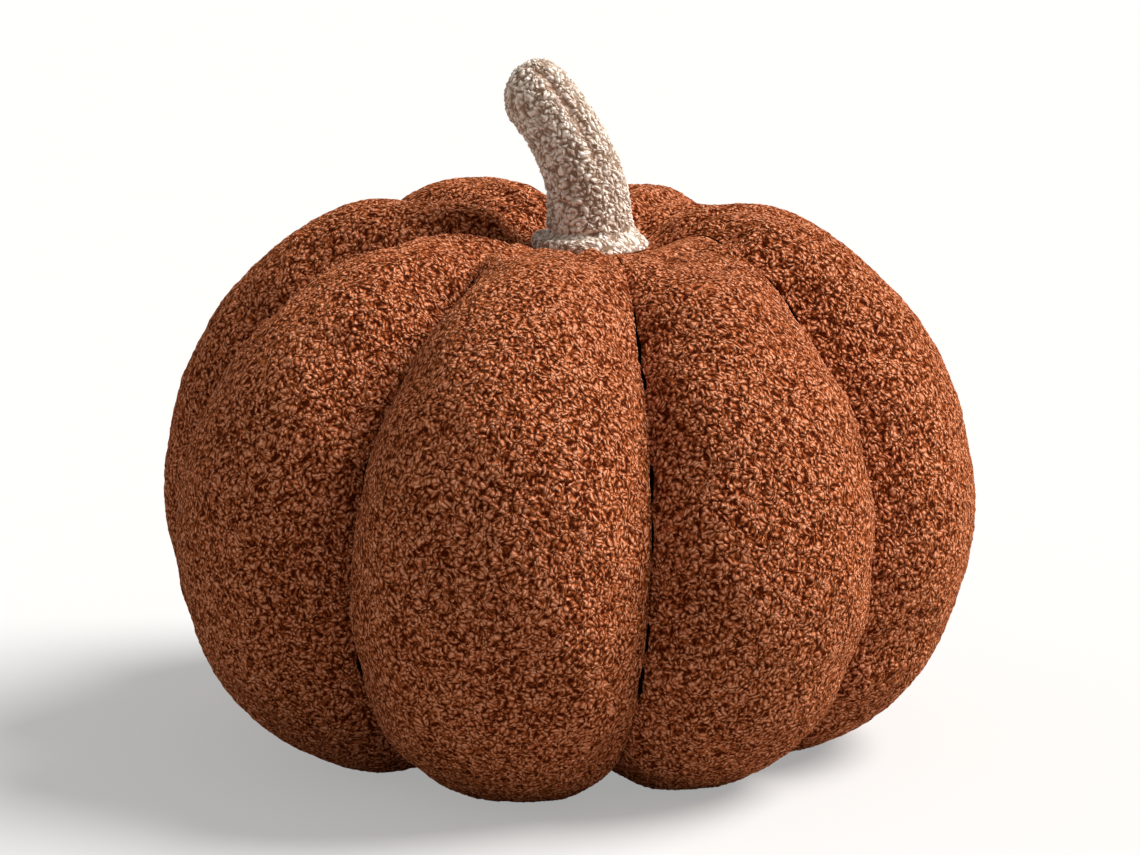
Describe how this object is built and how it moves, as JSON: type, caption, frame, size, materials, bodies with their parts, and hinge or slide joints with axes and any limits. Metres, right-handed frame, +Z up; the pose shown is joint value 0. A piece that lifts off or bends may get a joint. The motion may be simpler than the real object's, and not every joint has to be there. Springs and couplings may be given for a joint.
{
  "type": "pumpkin cushion",
  "caption": "Stuffed decorative cushion shaped like a ribbed pumpkin in curly rust fleece, with a curved stuffed stem in beige fleece standing in the dimple on top.",
  "frame": {"origin": "on the surface the cushion rests on, under the middle of the box round the cushion", "axes": "+Z up through the stem, front towards -Y, +X to the right seen from the front"},
  "size_m": [0.35, 0.3572, 0.2967],
  "materials": {
    "rust_fleece": "matte curly teddy fleece, rust orange",
    "beige_fleece": "matte curly teddy fleece, cream beige"
  },
  "bodies": {
    "root": {"body": "rust_fleece", "stem": "beige_fleece"}
  },
  "joints": []
}
